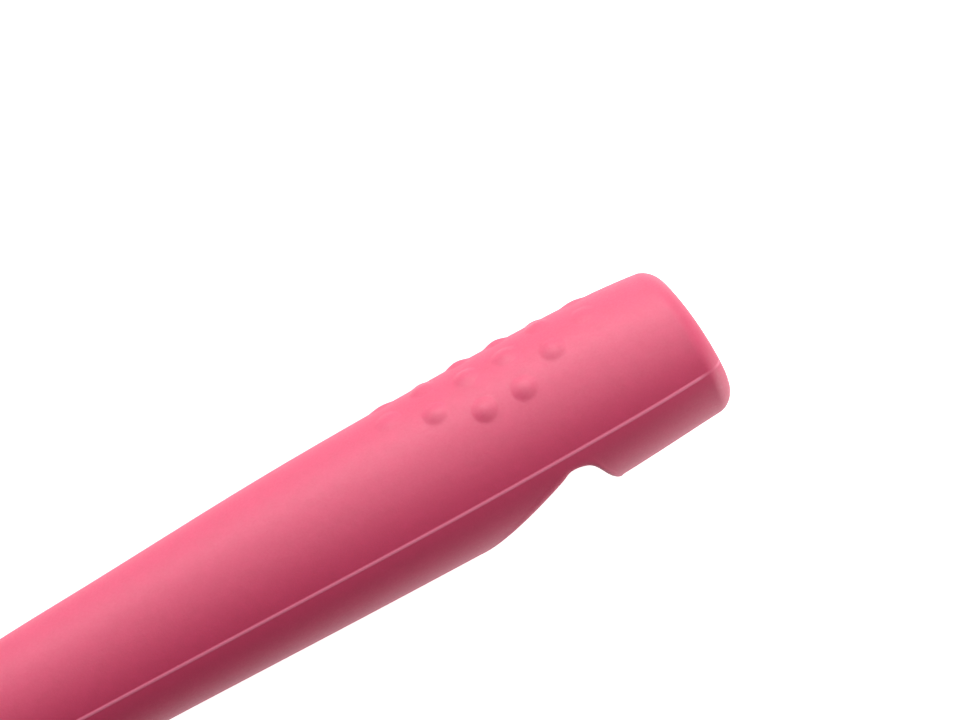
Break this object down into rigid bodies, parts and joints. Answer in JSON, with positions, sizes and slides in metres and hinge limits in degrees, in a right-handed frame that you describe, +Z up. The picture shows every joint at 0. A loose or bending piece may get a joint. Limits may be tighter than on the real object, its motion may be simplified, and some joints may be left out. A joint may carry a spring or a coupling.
{
  "type": "hoof pick",
  "caption": "Hand tool for cleaning hooves: bent steel hook and stiff brush on a soft pink moulded handle with raised grip bumps and a finger notch.",
  "frame": {"origin": "middle of the footprint, on the surface that the tool lies on with one side down", "axes": "+X from the hook to the butt of the handle, along it; +Y out of the back of the handle, the way the brush points, with the hook to -Y; +Z up, out of the tool's free side"},
  "size_m": [0.2, 0.0758, 0.0258],
  "materials": {
    "steel": "satin plated steel, slightly worn at the tip",
    "black_nylon": "fine matte moulded nylon",
    "pink_soft_touch": "matte soft-touch rubber with a fine grain",
    "bristle": "stiff nylon filament",
    "anchor_wire": "flat brass wire"
  },
  "bodies": {
    "root": {"pick": "steel", "core": "black_nylon", "grip": "pink_soft_touch", "tuft_01": "bristle", "tuft_02": "bristle", "tuft_03": "bristle", "tuft_04": "bristle", "tuft_05": "bristle", "tuft_06": "bristle", "tuft_07": "bristle", "tuft_08": "bristle", "tuft_09": "bristle", "tuft_10": "bristle", "tuft_11": "bristle", "tuft_12": "bristle", "tuft_13": "bristle", "tuft_14": "bristle", "tuft_15": "bristle", "tuft_16": "bristle", "tuft_17": "bristle", "tuft_18": "bristle", "tuft_19": "bristle", "tuft_20": "bristle", "tuft_21": "bristle", "tuft_22": "bristle", "tuft_23": "bristle", "tuft_24": "bristle", "tuft_25": "bristle", "tuft_26": "bristle", "tuft_27": "bristle", "tuft_28": "bristle", "tuft_29": "bristle", "tuft_30": "bristle", "tuft_anchors": "anchor_wire"}
  },
  "joints": []
}
